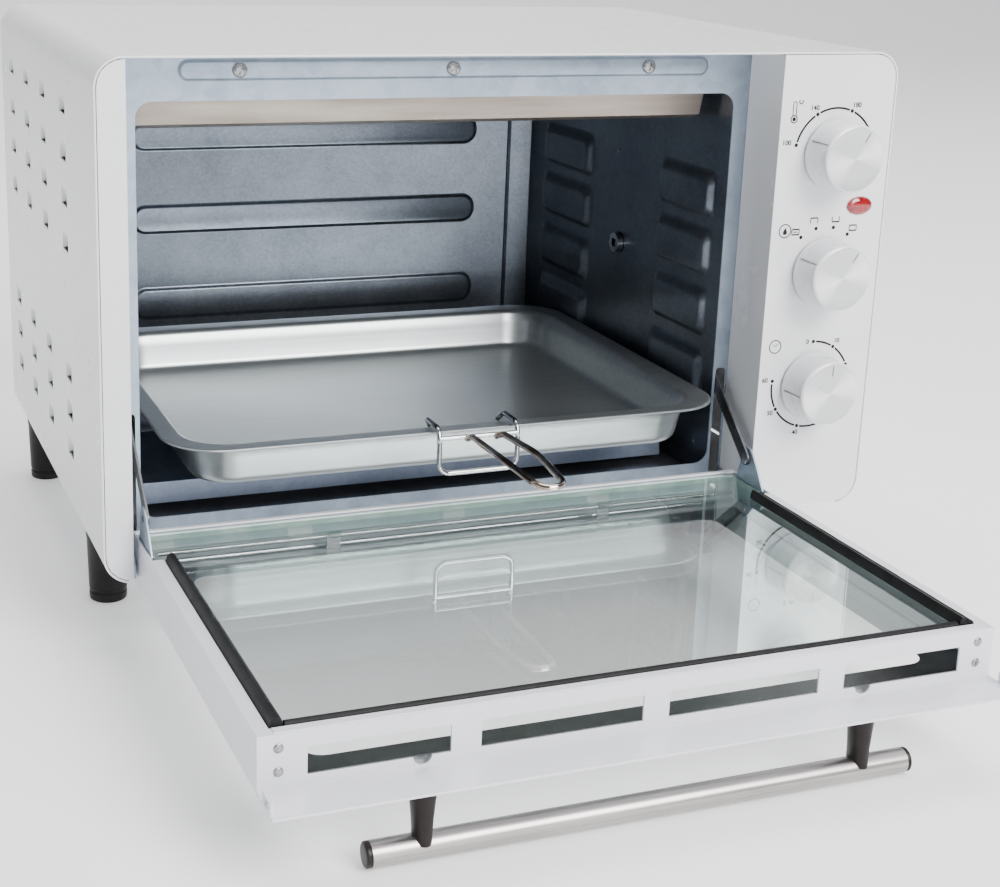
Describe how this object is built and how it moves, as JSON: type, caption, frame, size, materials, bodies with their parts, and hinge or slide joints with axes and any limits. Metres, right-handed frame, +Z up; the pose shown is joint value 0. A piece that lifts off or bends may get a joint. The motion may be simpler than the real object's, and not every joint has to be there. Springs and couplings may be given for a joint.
{
  "type": "rotisserie oven",
  "caption": "Counter-top rotisserie oven with a drop-down double-glazed door, bar handle, rotary controls, heaters, spit drive and a roasting tray.",
  "frame": {"origin": "centre of the part's box on the surface it stands on, door lying open", "axes": "+X to the right across the front, +Y into the oven, +Z up"},
  "size_m": [0.48, 0.606, 0.33],
  "materials": {
    "white_enamel": "gloss white enamel on steel",
    "galvanised": "bluish galvanised sheet",
    "aluminised": "aluminised steel sheet, satin",
    "guard": "heat-tinted reflector sheet",
    "element": "heating element sheath, dull",
    "black_plastic": "black moulded plastic",
    "gasket": "black silicone seal",
    "glass": "clear tempered glass",
    "brushed_steel": "brushed stainless steel",
    "chrome": "bright chrome",
    "dark_steel": "dark zinc-plated steel",
    "knob_white": "white plastic, spun metallic face",
    "red_lens": "clear red indicator",
    "tray_aluminium": "pressed aluminium, satin"
  },
  "bodies": {
    "body": {"outer_shell": "white_enamel", "back_panel": "white_enamel", "base_plate": "white_enamel", "left_trim": "white_enamel", "control_panel": "white_enamel", "front_frame": "galvanised", "frame_screw_1": "chrome", "frame_screw_2": "chrome", "frame_screw_3": "chrome", "cavity_left_wall": "aluminised", "cavity_right_wall": "aluminised", "cavity_back_wall": "aluminised", "cavity_roof": "aluminised", "cavity_floor": "aluminised", "upper_heater_guard": "guard", "lower_heater_guard": "guard", "heater_upper_front": "element", "heater_upper_rear": "element", "heater_lower_front": "element", "heater_lower_rear": "element", "foot_front_left": "black_plastic", "foot_front_right": "black_plastic", "foot_rear_left": "black_plastic", "foot_rear_right": "black_plastic", "thermostat": "dark_steel", "function_switch": "dark_steel", "timer_unit": "dark_steel", "indicator_lens": "red_lens", "rotisserie_motor": "dark_steel", "spit_bracket": "chrome", "cord_gland": "black_plastic", "door_spring_left": "dark_steel", "door_spring_right": "dark_steel", "hinge_bracket_left": "galvanised", "hinge_bracket_right": "galvanised"},
    "door": {"door_frame": "white_enamel", "inner_glass": "glass", "outer_glass": "glass", "gasket_left": "gasket", "gasket_right": "gasket", "gasket_top": "gasket", "handle_bar": "brushed_steel", "handle_post_left": "black_plastic", "handle_post_right": "black_plastic", "hinge_rod": "chrome", "ear_left": "galvanised", "ear_right": "galvanised"},
    "link_left": {"link_left": "dark_steel"},
    "link_right": {"link_right": "dark_steel"},
    "temperature_control": {"temperature_knob": "knob_white", "temperature_shaft": "brushed_steel"},
    "function_control": {"function_knob": "knob_white", "function_shaft": "brushed_steel"},
    "timer_control": {"timer_knob": "knob_white", "timer_shaft": "brushed_steel"},
    "spit_drive": {"drive_socket": "chrome"},
    "tray": {"roasting_tray": "tray_aluminium", "tray_handle_hooks": "chrome"},
    "tray_grip": {"tray_handle": "chrome"}
  },
  "joints": [
    {"name": "door_hinge", "type": "hinge", "parent": "body", "child": "door", "pos_m": [0, -0.02797, 0.0505], "axis": [-1, 0, 0], "range_deg": [0, 89.6]},
    {"name": "link_left_pivot", "type": "hinge", "parent": "door", "child": "link_left", "pos_m": [-0.2167, -0.04374, 0.08361], "axis": [-1, 0, 0], "range_deg": [-89.6, 0], "deforming": ["door_spring_left"]},
    {"name": "link_right_pivot", "type": "hinge", "parent": "door", "child": "link_right", "pos_m": [0.1542, -0.04374, 0.08361], "axis": [-1, 0, 0], "range_deg": [-89.6, 0], "deforming": ["door_spring_right"]},
    {"name": "temperature_turn", "type": "hinge", "parent": "body", "child": "temperature_control", "pos_m": [0.1996, -0.04097, 0.27], "axis": [0, 1, 0], "range_deg": [0, 270]},
    {"name": "function_turn", "type": "hinge", "parent": "body", "child": "function_control", "pos_m": [0.1986, -0.04097, 0.1985], "axis": [0, 1, 0], "range_deg": [0, 150]},
    {"name": "timer_turn", "type": "hinge", "parent": "body", "child": "timer_control", "pos_m": [0.1976, -0.04097, 0.127], "axis": [0, 1, 0], "range_deg": [0, 300]},
    {"name": "spit_drive_spin", "type": "hinge", "parent": "body", "child": "spit_drive", "pos_m": [0.14938, 0.13103, 0.184], "axis": [1, 0, 0], "continuous": true},
    {"name": "tray_slide", "type": "slide", "parent": "body", "child": "tray", "axis": [0, 1, 0], "range_m": [0, 0.05]},
    {"name": "tray_handle_fold", "type": "hinge", "parent": "tray", "child": "tray_grip", "pos_m": [-0.027, -0.05047, 0.1162], "axis": [-1, 0, 0], "range_deg": [0, 89.6]}
  ],
  "couplings": [
    {"joint": "link_left_pivot", "follows": "door_hinge", "ratio": -1},
    {"joint": "link_right_pivot", "follows": "door_hinge", "ratio": -1},
    {"joint": "tray_slide", "follows": "door_hinge", "m_per_rad": 0.03165},
    {"joint": "tray_handle_fold", "follows": "door_hinge", "ratio": 1}
  ]
}
